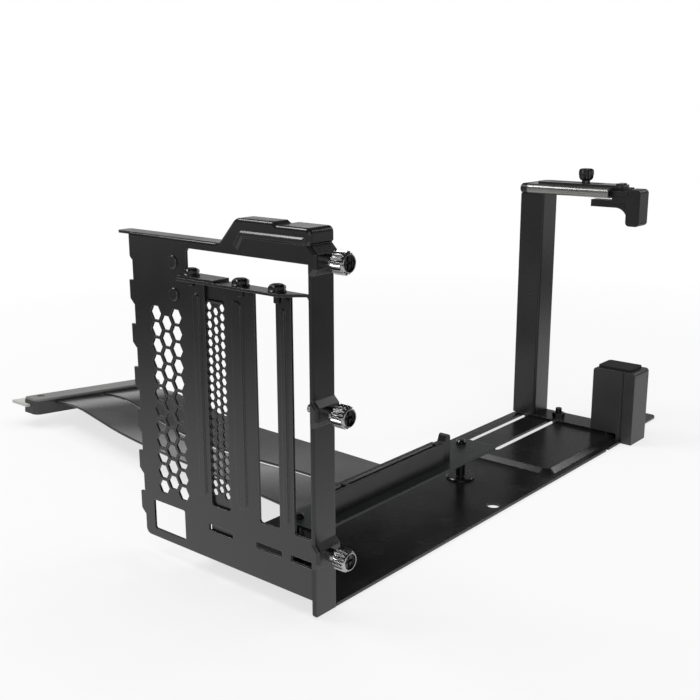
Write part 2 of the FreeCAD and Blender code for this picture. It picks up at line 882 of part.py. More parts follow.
def socket_contacts():
    # Spring contacts that stand on the floor of the socket's slot against its two walls
    contacts = []
    low = board_top + socket_height - socket_slot_depth
    start = socket_key_x + socket_key
    end = socket_rear - socket_wall - socket_key
    wall = socket_slot / 2
    for k in range(contact_count):
        x = start + (end - start) * k / (contact_count - 1)
        for side in (-1, 1):
            outer = socket_y + side * wall
            inner = socket_y + side * (wall - contact_thick)
            contacts.append(box(
                x - contact_width / 2, x + contact_width / 2, min(outer, inner), max(outer, inner),
                low, low + contact_height))
    return contacts


def ribbon_boot():
    # Clamp bar under the board's edge from which the two strips come out
    return prism(
        rectangle(boot_right, boot_left, boot_low, board_z, boot_round), along_x, boot_front, boot_rear)


# Ribbon strips: straight runs and tangent bends in an upright plane that lies across the floor at an angle

def ribbon_direction():
    turn = math.radians(ribbon_angle)
    return V(math.sin(turn), math.cos(turn), 0), V(math.cos(turn), -math.sin(turn), 0)


def ribbon_start(index):
    # Middle of one strip where it leaves the clamp bar
    step = (ribbon_width + ribbon_space) / math.cos(math.radians(ribbon_angle))
    return V(ribbon_start_x + index * step, boot_left, 0)


def strip_runs(index):
    # Route of one strip as (run, height); the far strip comes down to the lower end of the plug
    end = ribbon_runs[-1][0]
    return [(run, height - index * ribbon_drop * run / end) for run, height in ribbon_runs]


def strip_profile(runs, offset):
    # Points of one long side of the strip, as (run, height) with an arc at each bend
    pieces = []
    for before, here, after in zip(runs[:-2], runs[1:-1], runs[2:]):
        corner = V(here[0], here[1], 0)
        back = V(before[0], before[1], 0) - corner
        ahead = V(after[0], after[1], 0) - corner
        shorter = min(back.Length, ahead.Length)
        back.normalize()
        ahead.normalize()
        half_turn = (math.pi - back.getAngle(ahead)) / 2
        radius = bend_share * shorter / math.tan(half_turn)
        bisector = back + ahead
        bisector.normalize()
        centre = corner + bisector * (radius / math.cos(half_turn))
        sign = 1 if bisector.y > 0 else -1
        own = radius - sign * offset
        entry = centre + (corner + back * (bend_share * shorter) - centre) * (own / radius)
        leave = centre + (corner + ahead * (bend_share * shorter) - centre) * (own / radius)
        pieces.append((entry, centre - bisector * own, leave, radius))
    return pieces


def end_point(point, neighbour, offset, forward):
    # End of one long side, run on straight by the lead
    along = V(neighbour[0] - point[0], neighbour[1] - point[1], 0) * (1 if forward else -1)
    along.normalize()
    lead = -ribbon_lead if forward else ribbon_lead
    return V(point[0], point[1], 0) + along * lead + V(-along.y, along.x, 0) * offset


def riser_ribbon(index):
    ahead, across = ribbon_direction()
    base = ribbon_start(index)
    half = ribbon_thick / 2
    runs = strip_runs(index)

    def place(p):
        return base + ahead * p.x + V(0, 0, p.y)

    sides = []
    for offset in (half, -half):
        first = end_point(runs[0], runs[1], offset, True)
        last = end_point(runs[-1], runs[-2], offset, False)
        sides.append((first, strip_profile(runs, offset), last))
    edges = []
    for first, bends, last in sides:
        here = first
        for entry, middle, leave, radius in bends:
            edges.append(Part.makeLine(place(here), place(entry)))
            edges.append(Part.Arc(place(entry), place(middle), place(leave)).toShape())
            here = leave
        edges.append(Part.makeLine(place(here), place(last)))
    edges.append(Part.makeLine(place(sides[0][0]), place(sides[1][0])))
    edges.append(Part.makeLine(place(sides[0][2]), place(sides[1][2])))
    face = Part.Face(Part.Wire(Part.__sortEdges__(edges)))
    face.translate(across * (-ribbon_width / 2))
    strip = face.extrude(across * ribbon_width)
    return strip


def ribbon_strip(index):
    # Strip cut to the faces of the clamp bar and the plug
    strip = riser_ribbon(index)
    reach = 4 * ribbon_width
    before = box(-reach, 2 * reach, -reach, boot_left, -reach, reach)
    behind = box(-reach, 2 * reach, 0, reach, -reach, reach)
    place_plug(behind)
    return carve(strip, [before, behind])


# Riser plug: body and light lid, with the edge card pointing away from the mount

def place_plug(shape):
    # Plug pieces are drawn level, ribbon face on y = 0, near end at x = 0; the far end rests on the floor
    shape.rotate(V(0, 0, 0), V(0, 1, 0), plug_pitch)
    shape.translate(V(plug_x, plug_y, plug_length * math.sin(math.radians(plug_pitch))))
    return shape


def plug_screw_places():
    return ((plug_screw_inset, plug_screw_y), (plug_length - plug_screw_inset, plug_screw_y))


def plug_outline(inset):
    # The two corners on the ribbon face are rounded more than those beside the card
    end = plug_length - inset
    far = plug_depth - inset
    return [
        (inset, inset, plug_corner), (end, inset, plug_corner), (end, far, plug_round), (inset, far, plug_round)]


def riser_plug_body():
    body = prism(plug_outline(0.0), along_z, 0, plug_body_height)
    card_end = plug_card_left + plug_card_length
    pocket = box(
        plug_card_left, card_end + fit, plug_depth / 2, plug_depth + plug_round,
        plug_card_low, plug_card_low + plug_card_thick)
    cuts = [pocket]
    for x, y in plug_screw_places():
        low = plug_height - plug_screw_reach - plug_screw_head_height
        cuts.append(rod(plug_screw / 2 + fit, (x, y, low), (0, 0, 1), plug_height))
    return place_plug(carve(body, cuts))


def riser_plug_cover():
    cover = prism(plug_outline(plug_cover_inset), along_z, plug_body_height, plug_height)
    rim = [e for e in cover.Edges if e.BoundBox.ZMin > plug_height - fit]
    cover = cover.makeChamfer(plug_cover_edge, rim)
    cuts = []
    for x, y in plug_screw_places():
        cuts.append(rod(plug_screw / 2 + fit, (x, y, 0), (0, 0, 1), 2 * plug_height))
        sunk = plug_height - plug_screw_head_height
        cuts.append(rod(plug_screw_head / 2 + fit, (x, y, sunk), (0, 0, 1), plug_height))
    return place_plug(carve(cover, cuts))


def plug_screws():
    screws = []
    sunk = plug_height - plug_screw_head_height
    for x, y in plug_screw_places():
        shank = rod(plug_screw / 2, (x, y, sunk - plug_screw_reach), (0, 0, 1), plug_screw_reach)
        head = rod(plug_screw_head / 2, (x, y, sunk), (0, 0, 1), plug_screw_head_height - fit)
        screws.append(place_plug(join([shank, head])))
    return screws


def riser_plug_card():
    near = plug_depth / 2
    far = plug_depth + plug_card_out
    start = plug_card_left
    end = plug_card_left + plug_card_length
    card = prism([
        (start, near, 0), (end, near, 0),
        (end, far, plug_card_round), (start, far, plug_card_round)], along_z,
        plug_card_low, plug_card_low + plug_card_thick)
    key = box(
        plug_key_x - plug_key / 2, plug_key_x + plug_key / 2, far - plug_key_depth, far + plug_key,
        0, plug_height)
    return place_plug(carve(card, [key]))


# Rear support: foot strip on the raised panel, channel spine and arm tube

def support_sides(width):
    return support_x - width / 2, support_x + width / 2


def support_foot():
    x0, x1 = support_sides(support_width)
    foot = prism(rectangle(x0, x1, foot_right, foot_left, foot_round), along_z, emboss_top, foot_top)
    cuts = [
        rod(foot_screw / 2 + fit, (support_x, y, 0), (0, 0, 1), 2 * foot_top) for y in base_slot_places]
    cuts.append(rod(cradle_peg / 2 + fit, (support_x, cradle_peg_y, 0), (0, 0, 1), 2 * foot_top))
    return carve(foot, cuts)


def support_spine():
    x0, x1 = support_sides(support_width)
    wall = spine_sheet
    outer = prism(rectangle(x0, x1, spine_right, spine_left, 0), along_z, foot_top, spine_top)
    corners = [e for e in outer.Edges if abs(e.Length - (spine_top - foot_top)) < 1e-6]
    corners = [e for e in corners if e.BoundBox.YMax < spine_right + wall]
    outer = outer.makeFillet(wall, corners)
    cuts = [box(x0 + wall, x1 - wall, spine_right + wall, spine_left + wall, foot_top + wall, spine_top - wall)]
    cuts.append(rod(foot_screw / 2 + fit, (support_x, base_slot_places[1], 0), (0, 0, 1), 4 * foot_top))
    for x in arm_screw_places():
        hole = (x, arm_screw_y(), spine_top - 2 * wall)
        cuts.append(rod(arm_screw / 2 + fit, hole, (0, 0, 1), 4 * wall))
    return carve(outer, cuts)


def arm_screw_places():
    return (support_x - arm_screw_spread / 2, support_x + arm_screw_spread / 2)


def arm_screw_y():
    return (spine_right + spine_sheet + spine_left) / 2


def tube_section(grow):
    half = tube_width / 2 + grow
    low = spine_top - grow
    high = tube_top + grow
    radius = (high - low) / 2 - arc_slack
    return rectangle(support_x - half, support_x + half, low, high, radius)


def arm_tube():
    tube = prism(tube_section(0.0), along_y, tube_right, tube_left)
    cuts = [prism(tube_section(-tube_wall), along_y, tube_right - tube_wall, tube_left + tube_wall)]
    top_hole = (support_x, knob_y, spine_top + tube_height / 2)
    cuts.append(rod(knob_thread / 2 + fit, top_hole, (0, 0, 1), tube_height))
    for x in arm_screw_places():
        cuts.append(rod(arm_screw / 2 + fit, (x, arm_screw_y(), spine_top - tube_wall), (0, 0, 1), 3 * tube_wall))
    return carve(tube, cuts)


def arm_end_cap():
    head = prism(tube_section(0.0), along_y, tube_left, tube_left + cap_length)
    rim = [e for e in head.Edges if e.BoundBox.YMin > tube_left + cap_length - fit]
    head = head.makeChamfer(tube_wall / 2, rim)
    plug = prism(tube_section(-tube_wall - fit), along_y, tube_left - cap_plug, tube_left)
    return join([head, plug])


def arm_screws():
    screws = []
    seat = spine_top - spine_sheet
    for x in arm_screw_places():
        y = arm_screw_y()
        head = rod(arm_screw_head / 2, (x, y, seat - arm_screw_head_height), (0, 0, 1), arm_screw_head_height)
        shank = rod(arm_screw / 2, (x, y, seat), (0, 0, 1), spine_sheet + tube_wall)
        screws.append(join([head, shank]))
    return screws


def foot_screws():
    # Screws that rise through the slots of the raised panel, their heads in the hollow under it
    screws = []
    seat = emboss_rise
    for y in base_slot_places:
        head_low = seat - foot_screw_head_height
        head = rod(foot_screw_head / 2, (support_x, y, head_low), (0, 0, 1), foot_screw_head_height)
        shank = rod(foot_screw / 2, (support_x, y, seat), (0, 0, 1), foot_screw_reach)
        screws.append(join([head, shank]))
    return screws


def foot_nuts():
    nuts = []
    for y, seat in zip(base_slot_places, (foot_top, foot_top + spine_sheet)):
        nut = prism(hexagon(support_x, y, foot_nut), along_z, seat, seat + foot_nut_height)
        hole = rod(foot_screw / 2 + fit, (support_x, y, seat - fit), (0, 0, 1), foot_nut_height + 2 * fit)
        nuts.append(carve(nut, [hole]))
    return nuts


# Rear support: sliding hook with its guide strip, and the knob that clamps them

def slide_hook():
    x0, x1 = support_sides(hook_width)
    mouth = tube_right - running_fit
    block = prism([
        (hook_right, hook_low, hook_round), (hook_left, hook_low, hook_round),
        (hook_left, hook_leg_low, 0.0), (mouth, hook_leg_low, 0.0),
        (mouth, hook_shoulder_high, 0.0), (hook_left, hook_shoulder_high, 0.0),
        (hook_left, hook_high, hook_round / 2), (hook_right, hook_high, hook_round)], along_x, x0, x1)
    j0, j1 = support_sides(hook_jaw_width)
    jaw = prism([
        (hook_left - hook_round, hook_low + hook_round, 0.0), (hook_left, hook_low + hook_round, 0.0),
        (hook_left, hook_jaw_low, hook_inner_round), (hook_jaw_left, hook_jaw_low, 0.0),
        (hook_jaw_left, hook_jaw_high, 0.0), (hook_left - hook_round, hook_jaw_high, 0.0)],
        along_x, j0, j1)
    n0, n1 = support_sides(hook_neck_width)
    post = box(n0, n1, hook_left, mouth, hook_shoulder_high, tube_top)
    t0, t1 = support_sides(hook_tongue_width)
    low = spine_top + tube_wall + hook_tongue_gap
    high = tube_top - tube_wall - running_fit
    tongue = box(t0, t1, hook_left, hook_tongue_left, low, high)
    half = knob_thread / 2 + 2 * fit
    slot = prism(
        rectangle(support_x - half, support_x + half, knob_y - half - running_fit,
                  knob_y + half + slide_out + running_fit, half - arc_slack),
        along_z, low - tube_wall, high + tube_wall)
    rivets = [
        rod(strip_rivet / 2 + fit, (x, strip_rivet_y, tube_top - strip_rivet_reach), (0, 0, 1), 2 * strip_rivet_reach)
        for x in strip_rivet_places()]
    return carve(join([block, jaw, post, tongue]), [slot] + rivets)


def strip_rivet_places():
    return (support_x - hook_neck_width / 4, support_x + hook_neck_width / 4)


def guide_strip():
    half = strip_width / 2
    strip = prism(
        rectangle(support_x - half, support_x + half, strip_right, strip_left, half / 2), along_z, tube_top, strip_top)
    slot_half = knob_thread / 2 + 2 * fit
    slot = prism(
        rectangle(support_x - slot_half, support_x + slot_half, strip_slot_right, strip_slot_left, slot_half - arc_slack),
        along_z, tube_top - strip_thick, strip_top + strip_thick)
    holes = [
        rod(strip_rivet / 2 + fit, (x, strip_rivet_y, tube_top - strip_thick), (0, 0, 1), 3 * strip_thick)
        for x in strip_rivet_places()]
    return carve(strip, [slot] + holes)


def strip_rivets():
    rivets = []
    for x in strip_rivet_places():
        head = rod(strip_rivet_head / 2, (x, strip_rivet_y, strip_top), (0, 0, 1), strip_rivet_head_height)
        low = tube_top - strip_rivet_reach
        shank = rod(strip_rivet / 2, (x, strip_rivet_y, low), (0, 0, 1), strip_top - low)
        rivets.append(join([head, shank]))
    return rivets


def clamp_knob():
    neck_top = strip_top + knob_neck_height
    neck = rod(knob_neck / 2, (support_x, knob_y, strip_top), (0, 0, 1), knob_neck_height)
    head = rod(knob_head / 2, (support_x, knob_y, neck_top), (0, 0, 1), knob_head_height)
    rims = [e for e in head.Edges if e.Length > knob_head * 2]
    head = head.makeChamfer(knob_edge, rims)
    low = spine_top + tube_wall + running_fit
    shank = rod(knob_thread / 2, (support_x, knob_y, low), (0, 0, 1), strip_top - low)
    return join([neck, head, shank])


# Rear support: lower cradle with its rubber pad

def cradle_block():
    x0, x1 = support_sides(cradle_width)
    beside = base_right - running_fit
    block = prism([
        (cradle_right, 0.0, 0.0), (beside, 0.0, 0.0), (beside, base_sheet, 0.0),
        (cradle_skirt_left, base_sheet, 0.0), (cradle_skirt_left, foot_top, 0.0), (cradle_left, foot_top, 0.0),
        (cradle_left, cradle_top, cradle_round), (cradle_right, cradle_top, cradle_round)], along_x, x0, x1)
    half = cradle_groove / 2
    groove = box(
        x0 - cradle_groove, x0 + cradle_groove_depth, cradle_groove_y - half, cradle_groove_y + half,
        0.0, cradle_top + cradle_round)
    peg = rod(cradle_peg / 2, (support_x, cradle_peg_y, emboss_top), (0, 0, 1), foot_sheet)
    return join([carve(block, [groove]), peg])


def cradle_pad():
    x0, x1 = support_sides(cradle_width - 2 * cradle_pad_inset)
    y0 = cradle_right + cradle_round + cradle_pad_inset
    y1 = cradle_left - cradle_round
    return prism(
        rectangle(x0, x1, y0, y1, cradle_round), along_z, cradle_top, cradle_top + cradle_pad_thick)


def save(name, shapes):
    group = shapes if isinstance(shapes, list) else [shapes]
    shape = group[0] if len(group) == 1 else Part.makeCompound(group)
    shape.translate(V(-origin_x, -origin_y, 0))
    shape.exportStep("parts/%s.step" % name)
    print(name, len(shape.Solids), shape.isValid(), round(shape.Volume, 1))


os.makedirs("parts", exist_ok=True)
save("io_bracket", io_bracket())
save("slot_cover", slot_cover())
save("slot_screws", slot_screws())
save("thumbscrews", thumbscrews())
save("panel_rivets", panel_rivets())
save("base_tray", base_tray())
save("base_rivets", base_rivets())
save("board_standoffs", board_standoffs())
save("riser_board", riser_board())
save("board_screws", board_screws())
save("riser_socket", riser_socket())
save("socket_contacts", socket_contacts())
save("ribbon_boot", ribbon_boot())
save("riser_ribbon_near", ribbon_strip(0))
save("riser_ribbon_far", ribbon_strip(1))
save("riser_plug_body", riser_plug_body())
save("riser_plug_cover", riser_plug_cover())
save("riser_plug_card", riser_plug_card())
save("plug_screws", plug_screws())
save("support_foot", support_foot())
save("support_spine", support_spine())
save("foot_screws", foot_screws())
save("foot_nuts", foot_nuts())
save("arm_tube", arm_tube())
save("arm_end_cap", arm_end_cap())
save("arm_screws", arm_screws())
save("slide_hook", slide_hook())
save("guide_strip", guide_strip())
save("strip_rivets", strip_rivets())
save("clamp_knob", clamp_knob())
save("cradle_block", cradle_block())
save("cradle_pad", cradle_pad())
for index in (0, 1):
    for bend in strip_profile(strip_runs(index), 0.0):
        print("ribbon bend radius", index, round(bend[3], 1))
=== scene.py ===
import bmesh
import bpy
import math
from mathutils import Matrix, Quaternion, Vector


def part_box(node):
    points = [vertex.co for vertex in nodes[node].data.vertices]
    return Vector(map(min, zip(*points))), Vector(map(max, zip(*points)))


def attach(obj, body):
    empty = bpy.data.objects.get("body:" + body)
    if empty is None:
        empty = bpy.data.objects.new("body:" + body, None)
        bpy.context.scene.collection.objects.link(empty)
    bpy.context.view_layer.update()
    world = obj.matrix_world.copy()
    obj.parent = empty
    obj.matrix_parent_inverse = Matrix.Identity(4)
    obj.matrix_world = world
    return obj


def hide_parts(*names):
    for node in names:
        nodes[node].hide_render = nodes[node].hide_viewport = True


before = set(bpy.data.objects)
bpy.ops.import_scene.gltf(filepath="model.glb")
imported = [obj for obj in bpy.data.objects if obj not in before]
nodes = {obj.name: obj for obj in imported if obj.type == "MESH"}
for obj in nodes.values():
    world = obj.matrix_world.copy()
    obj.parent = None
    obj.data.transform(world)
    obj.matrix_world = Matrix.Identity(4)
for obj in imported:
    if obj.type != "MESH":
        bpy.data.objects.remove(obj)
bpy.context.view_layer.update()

# Sizes in millimetres from the slot panel's outer face, its folded side and the floor
MM = 0.001
ORIGIN_X = 170.8
ORIGIN_Y = 52.55
SLOT_PITCH = 20.32


def in_frame(x, y, z):
    # A place in the shared frame, in metres
    return Vector(((x - ORIGIN_X) * MM, (y - ORIGIN_Y) * MM, z * MM))


def box_of(node):
    # Lowest and highest corner of a node, in millimetres
    return [Vector((c.x / MM + ORIGIN_X, c.y / MM + ORIGIN_Y, c.z / MM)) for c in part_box(node)]


def add_object(name, data):
    thing = bpy.data.objects.new(name, data)
    bpy.context.scene.collection.objects.link(thing)
    return thing


# Camera at the photo's angle

SENSOR_WIDTH = 36.0
LENS = 52.2
NEAR_CLIP = 0.01
CAMERA_PLACE = (-281.92, -256.97, 210.59)
CAMERA_YAW = math.radians(40.098)
CAMERA_PITCH = math.radians(14.074)
CAMERA_ROLL = math.radians(-0.16)


def add_camera():
    data = bpy.data.cameras.new("photo_camera")
    data.sensor_width = SENSOR_WIDTH
    data.lens = LENS
    data.clip_start = NEAR_CLIP
    camera = add_object("photo_camera", data)
    level = math.cos(CAMERA_PITCH)
    forward = Vector((math.cos(CAMERA_YAW) * level, math.sin(CAMERA_YAW) * level, -math.sin(CAMERA_PITCH)))
    camera.rotation_mode = "QUATERNION"
    camera.rotation_quaternion = forward.to_track_quat("-Z", "Y") @ Quaternion((0, 0, 1), CAMERA_ROLL)
    camera.location = in_frame(*CAMERA_PLACE)
    bpy.context.scene.camera = camera


add_camera()


# Shader nodes

# Part of the noise's range that colours and gloss are spread over
NOISE_SPAN = (0.3, 0.7)


def grey(level):
    return (level, level, level)


def new_material(name):
    material = bpy.data.materials.new(name)
    material.use_nodes = True
    return material, material.node_tree, material.node_tree.nodes["Principled BSDF"]


def noise(tree, scale, detail):
    place = tree.nodes.new("ShaderNodeTexCoord")
    texture = tree.nodes.new("ShaderNodeTexNoise")
    texture.inputs["Scale"].default_value = scale
    texture.inputs["Detail"].default_value = detail
    tree.links.new(place.outputs["Object"], texture.inputs["Vector"])
    return texture.outputs["Fac"]


def ramp(tree, source, low, high):
    blend = tree.nodes.new("ShaderNodeValToRGB")
    for element, position, colour in zip(blend.color_ramp.elements, NOISE_SPAN, (low, high)):
        element.position = position
        element.color = (*colour, 1.0)
    tree.links.new(source, blend.inputs["Fac"])
    return blend.outputs["Color"]


def remap(tree, source, values):
    # The values are the ends of the range that comes in, then what the two ends become
    node = tree.nodes.new("ShaderNodeMapRange")
    for name, value in zip(("From Min", "From Max", "To Min", "To Max"), values):
        node.inputs[name].default_value = value
    tree.links.new(source, node.inputs["Value"])
    return node.outputs["Result"]


def combine(tree, operation, *sources):
    node = tree.nodes.new("ShaderNodeMath")
    node.operation = operation
    for socket, source in zip(node.inputs, sources):
        tree.links.new(source, socket)
    return node.outputs["Value"]


def measure(tree, operation, source, fixed):
    # Distance from a fixed point, or share of a fixed direction
    node = tree.nodes.new("ShaderNodeVectorMath")
    node.operation = operation
    node.inputs[1].default_value = fixed
    tree.links.new(source, node.inputs[0])
    return node.outputs["Value"]


# Coats: colour, gloss and surface vary a little, edges look slightly rounded, and some coats get a
# highlight painted along their edges

EDGE_SAMPLES = 6
# Agreement of the plain and the rounded surface direction, on the flat and at an edge, and the share of
# painted highlight there
EDGE_HIGHLIGHT_SPAN = (0.99, 0.80, 0.0, 1.0)
GRAIN_DETAIL = 2.0
GRAIN_HEIGHT = 0.00006
BROAD_SCALE = 45.0
BROAD_DETAIL = 4.0


def rounded(tree, edge):
    # Surface direction over edges that look slightly rounded
    node = tree.nodes.new("ShaderNodeBevel")
    node.samples = EDGE_SAMPLES
    node.inputs["Radius"].default_value = edge
    return node.outputs["Normal"]


def painted_edge_highlight(tree, colour, direction, tone):
    # Painted highlight: the colour is mixed towards a lighter tone along the edges, where the rounded
    # surface direction parts from the plain one
    surface = tree.nodes.new("ShaderNodeNewGeometry")
    turn = tree.nodes.new("ShaderNodeVectorMath")
    turn.operation = "DOT_PRODUCT"
    tree.links.new(surface.outputs["Normal"], turn.inputs[0])
    tree.links.new(direction, turn.inputs[1])
    mix = tree.nodes.new("ShaderNodeMixRGB")
    mix.inputs["Color2"].default_value = (*grey(tone), 1.0)
    tree.links.new(remap(tree, turn.outputs["Value"], EDGE_HIGHLIGHT_SPAN), mix.inputs["Fac"])
    tree.links.new(colour, mix.inputs["Color1"])
    return mix.outputs["Color"]


def grained(tree, source, depth, direction):
    node = tree.nodes.new("ShaderNodeBump")
    node.inputs["Strength"].default_value = depth
    node.inputs["Distance"].default_value = GRAIN_HEIGHT
    tree.links.new(direction, node.inputs["Normal"])
    tree.links.new(source, node.inputs["Height"])
    return node.outputs["Normal"]


def coat(name, low, high, rough, grain=2600.0, depth=0.12, metal=0.0, specular=0.5, edge=0.0004, edge_highlight_tone=0.0):
    # From the low to the high colour, and between two values of roughness; the last argument is the lighter
    # tone painted along the edges as a highlight
    material, tree, shader = new_material(name)
    fine = noise(tree, grain, GRAIN_DETAIL)
    broad = noise(tree, BROAD_SCALE, BROAD_DETAIL)
    direction = rounded(tree, edge)
    colour = ramp(tree, broad, low, high)
    if edge_highlight_tone:
        colour = painted_edge_highlight(tree, colour, direction, edge_highlight_tone)
    tree.links.new(colour, shader.inputs["Base Color"])
    tree.links.new(remap(tree, broad, (*NOISE_SPAN, *rough)), shader.inputs["Roughness"])
    tree.links.new(grained(tree, fine, depth, direction), shader.inputs["Normal"])
    shader.inputs["Metallic"].default_value = metal
    shader.inputs["Specular IOR Level"].default_value = specular
    return material


# The panel, base, black plastic and dark grey plastic coats get a lighter tone painted along their edges as
# a highlight
satin = coat("satin_black_coat", grey(0.007), grey(0.010), (0.25, 0.32), specular=0.62, edge_highlight_tone=0.15)
gloss = coat("base_black_coat", grey(0.007), grey(0.010), (0.22, 0.30), specular=0.55, edge_highlight_tone=0.06)
plated = coat(
    "black_nickel", grey(0.34), grey(0.42), (0.10, 0.16), grain=900.0, depth=0.05, metal=1.0, edge=0.0002)
blackened = coat(
    "blackened_steel", grey(0.05), grey(0.08), (0.22, 0.30), grain=900.0, depth=0.05, metal=1.0)
anodised = coat(
    "satin_arm_metal", (0.31, 0.31, 0.30), (0.37, 0.37, 0.355), (0.26, 0.34), grain=1200.0, depth=0.05,
    metal=0.9)
moulded = coat(
    "moulded_black", grey(0.008), grey(0.012), (0.36, 0.44), grain=1500.0, depth=0.1, specular=0.6,
    edge_highlight_tone=0.06)
greyed = coat(
    "moulded_dark_grey", grey(0.034), grey(0.046), (0.34, 0.42), grain=1500.0, depth=0.1, specular=0.6,
    edge_highlight_tone=0.08)
board = coat(
    "board_mask", (0.008, 0.011, 0.009), (0.012, 0.017, 0.014), (0.25, 0.35), grain=300.0, depth=0.08)
gilt = coat(
    "gilt_contact", (0.7, 0.48, 0.16), (0.8, 0.58, 0.22), (0.22, 0.3), grain=900.0, depth=0.03, metal=1.0,
    edge=0.0001)
film = coat("ribbon_film", grey(0.038), grey(0.056), (0.20, 0.28), grain=60.0, depth=0.15, edge=0.0001)
# Painted reflection: the plug's lid is coloured pale grey for the white surroundings mirrored on its dark
# top
pale = coat("plug_top_painted_sheen", (0.20, 0.20, 0.198), (0.25, 0.25, 0.245), (0.4, 0.5), grain=1500.0, depth=0.06)
card = coat(
    "pale_board", (0.55, 0.55, 0.52), (0.62, 0.62, 0.59), (0.3, 0.4), grain=400.0, depth=0.05, edge=0.0002)
rubber = coat("soft_rubber", grey(0.010), grey(0.014), (0.65, 0.75), grain=1500.0, depth=0.15)

PAINT = {
    satin: (
        "io_bracket", "slot_cover", "panel_rivets", "base_rivets", "support_spine", "guide_strip",
        "strip_rivets"),
    gloss: ("base_tray", "support_foot"),
    plated: ("thumbscrews",),
    blackened: (
        "slot_screws", "board_standoffs", "board_screws", "plug_screws", "foot_screws", "foot_nuts",
        "arm_screws"),
    anodised: ("arm_tube",),
    moulded: ("riser_socket", "ribbon_boot", "slide_hook", "arm_end_cap", "clamp_knob"),
    greyed: ("riser_plug_body", "cradle_block"),
    board: ("riser_board",),
    gilt: ("socket_contacts",),
    film: ("riser_ribbon_near", "riser_ribbon_far"),
    pale: ("riser_plug_cover",),
    card: ("riser_plug_card",),
    rubber: ("cradle_pad",),
}
for material, names in PAINT.items():
    for name in names:
        nodes[name].data.materials.clear()
        nodes[name].data.materials.append(material)


# Turned pieces: rings of points about an axis, each a height with a radius, or with a radius at every angle

QUARTER = math.pi / 2
FLUTE_STEPS = 6
FLUTE_ROUNDNESS = 0.6
SIDE_STEPS = 8
SAME_ANGLE = 1e-4
ANGLE_SLACK = 1e-9
SMOOTH_ANGLE = math.radians(32.0)


def fluted(radius, depth, count):
    return lambda a: radius - depth * (0.5 + 0.5 * math.cos(count * a)) ** FLUTE_ROUNDNESS


def hexagonal(across):
    # Distance from the middle to the side of a hexagon
    side = math.pi / 3
    return lambda a: across / 2 / math.cos((a + side / 2) % side - side / 2)


def corner_angle(long_half, thin_half):
    return math.atan2(thin_half, long_half)


def cross_shape(long_half, thin_half):
    # Distance from the middle to the edge of a cross, from half the length and half the width of its arms
    corner = corner_angle(long_half, thin_half)

    def reach(a):
        from_arm = abs((a + QUARTER / 2) % QUARTER - QUARTER / 2)
        if from_arm <= corner + ANGLE_SLACK:
            return long_half / math.cos(from_arm)
        return thin_half / math.sin(from_arm)
    return reach


def angle_list(count, steps, corner=QUARTER / 4):
    # Even steps, and three more in each quarter, where a cross has its corners
    total = count * steps
    angles = [2 * math.pi * k / total for k in range(total)]
    for quarter in range(4):
        for side in (-corner, corner, QUARTER / 2):
            angles.append((quarter * QUARTER + side) % (2 * math.pi))
    angles.sort()
    following = angles[1:] + [angles[0] + 2 * math.pi]
    return [a for a, b in zip(angles, following) if b - a > SAME_ANGLE]


def add_turned(name, rings, angles, place, centres, materials, node, painted_shade_rings=0):
    # One object with a turned piece at each centre.
    # The last rings, down in the recess, take the second, darker material as painted shade
    mesh = bpy.data.meshes.new(name)
    build = bmesh.new()
    total = len(angles)
    for centre in centres:
        loops = []
        for height, radius in rings:
            loop = []
            for a in angles:
                r = radius(a) if callable(radius) else radius
                point = place(centre, r * math.cos(a), r * math.sin(a), height)
                loop.append(build.verts.new(in_frame(*point)))
            loops.append(loop)
        for i, (one, two) in enumerate(zip(loops[:-1], loops[1:])):
            dark = int(i >= len(loops) - 1 - painted_shade_rings)
            for k in range(total):
                n = (k + 1) % total
                build.faces.new((one[k], one[n], two[n], two[k])).material_index = dark
        build.faces.new(loops[0])
        build.faces.new(loops[-1]).material_index = int(painted_shade_rings > 0)
    bmesh.ops.recalc_face_normals(build, faces=build.faces)
    build.to_mesh(mesh)
    build.free()
    for face in mesh.polygons:
        face.use_smooth = True
    mesh.set_sharp_from_angle(angle=SMOOTH_ANGLE)
    for material in materials:
        mesh.materials.append(material)
    thing = add_object(name, mesh)
    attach(thing, "mount")
    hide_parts(node)


# Thumbscrews: a fluted head with a rim and a cross, and a thread with grooves.
# Heights go inward from the panel's folded side, so the head lies below zero

THUMB_X = 7.0
THUMB_FIRST_Z = 27.4
THUMB_STEP = 3 * SLOT_PITCH
THUMB_PLACES = [THUMB_FIRST_Z + k * THUMB_STEP for k in range(3)]
THUMB_TIP = ((8.0, 1.2), (7.6, 1.75))
THUMB_THREAD_START = 7.4
THUMB_THREAD_END = 1.5
THUMB_THREAD_TURNS = 7
THUMB_THREAD_PITCH = 0.8
THUMB_GROOVE = 0.7
THUMB_THREAD_RADIUS = 1.75
THUMB_ROOT_RADIUS = 1.5
THUMB_RELIEF = 1.4
THUMB_SEAT = -2.5
THUMB_NECK_RADIUS = 2.8
THUMB_HEAD_BACK = -7.0
THUMB_BACK_RADIUS = 3.6
THUMB_KNURL = (-7.5, -12.5)
THUMB_HEAD_RADIUS = 4.75
THUMB_FLUTES = 18
THUMB_FLUTE_DEPTH = 0.8
THUMB_RIM = ((-12.9, 3.95), (-13.4, 3.9), (-13.7, 3.7), (-13.65, 3.35))
THUMB_DISH = -12.7
THUMB_DISH_RADIUS = 3.15
THUMB_CROSS_FLOOR = -11.8
THUMB_CROSS = (2.7, 0.55)
# Rings down in the cross recess, painted in the darker blackened steel as shade
THUMB_PAINTED_SHADE_RINGS = 3


def thumb_place(centre, a, b, height):
    return THUMB_X + a, height, centre + b


